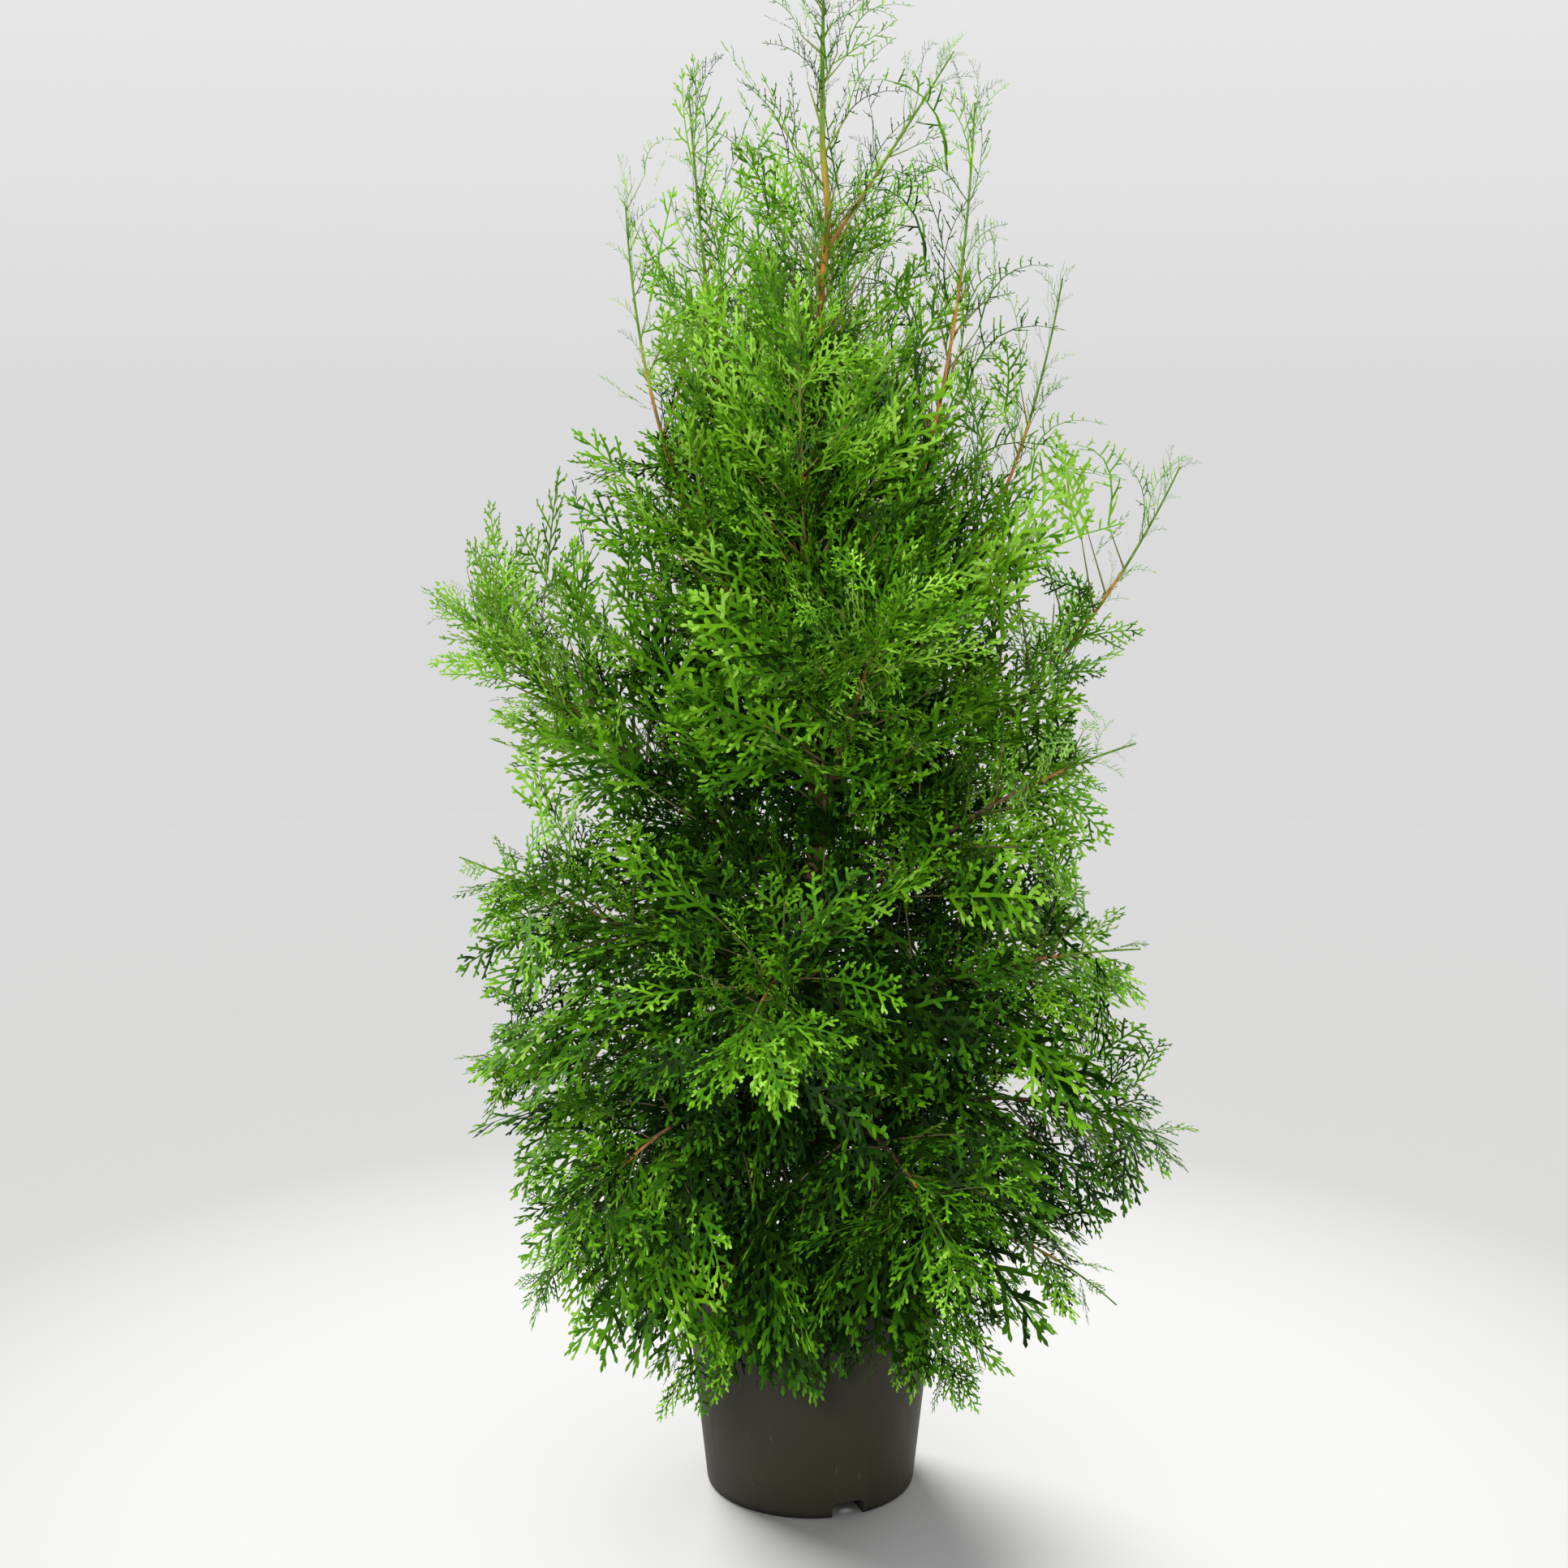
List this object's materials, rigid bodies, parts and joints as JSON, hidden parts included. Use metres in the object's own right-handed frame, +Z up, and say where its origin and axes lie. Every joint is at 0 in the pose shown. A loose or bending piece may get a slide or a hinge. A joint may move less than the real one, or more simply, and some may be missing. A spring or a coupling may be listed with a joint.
{
  "type": "potted thuja",
  "caption": "Columnar evergreen shrub with scale-leaf sprays on boughs round a tapering trunk, standing in compost in a round tapered nursery pot.",
  "frame": {"origin": "middle of the pot's flat underside, on the ground", "axes": "+Z up the trunk, +X to the plant's right and -Y to its front"},
  "size_m": [0.9318, 0.8677, 1.803],
  "materials": {
    "pot_plastic": "matt dark taupe moulded plastic",
    "compost": "moist dark crumbly compost",
    "bark": "thin fibrous red-brown bark, golden on young stems",
    "foliage": "soft flat scale-leaf sprays, yellow-green at the tips and dark inside"
  },
  "bodies": {
    "root": {"pot": "pot_plastic", "compost": "compost", "trunk": "bark", "bough_skirt_right": "bark", "bough_skirt_back_right": "bark", "bough_skirt_back_left": "bark", "bough_skirt_left": "bark", "bough_skirt_front_left": "bark", "bough_skirt_front_right": "bark", "bough_low_right": "bark", "bough_low_back": "bark", "bough_low_left": "bark", "bough_low_front_left": "bark", "bough_low_front_right": "bark", "bough_middle_right": "bark", "bough_middle_back_right": "bark", "bough_middle_back_left": "bark", "bough_middle_left": "bark", "bough_middle_front": "bark", "bough_shoulder_right": "bark", "bough_shoulder_right_low": "bark", "bough_shoulder_back": "bark", "bough_shoulder_left": "bark", "bough_shoulder_front": "bark", "bough_leader_left": "bark", "bough_leader_far_left": "bark", "bough_leader_right": "bark", "bough_leader_far_right": "bark", "bough_leader_front": "bark", "bough_leader_back": "bark", "bough_top_shoot": "bark", "foliage_skirt_right": "foliage", "foliage_skirt_back_right": "foliage", "foliage_skirt_back_left": "foliage", "foliage_skirt_left": "foliage", "foliage_skirt_front_left": "foliage", "foliage_skirt_front_right": "foliage", "foliage_low_right": "foliage", "foliage_low_back": "foliage", "foliage_low_left": "foliage", "foliage_low_front_left": "foliage", "foliage_low_front_right": "foliage", "foliage_middle_right": "foliage", "foliage_middle_back_right": "foliage", "foliage_middle_back_left": "foliage", "foliage_middle_left": "foliage", "foliage_middle_front": "foliage", "foliage_shoulder_right": "foliage", "foliage_shoulder_right_low": "foliage", "foliage_shoulder_back": "foliage", "foliage_shoulder_left": "foliage", "foliage_shoulder_front": "foliage", "foliage_leader_left": "foliage", "foliage_leader_far_left": "foliage", "foliage_leader_right": "foliage", "foliage_leader_far_right": "foliage", "foliage_leader_front": "foliage", "foliage_leader_back": "foliage", "foliage_top_shoot": "foliage", "foliage_top": "foliage"}
  },
  "joints": []
}
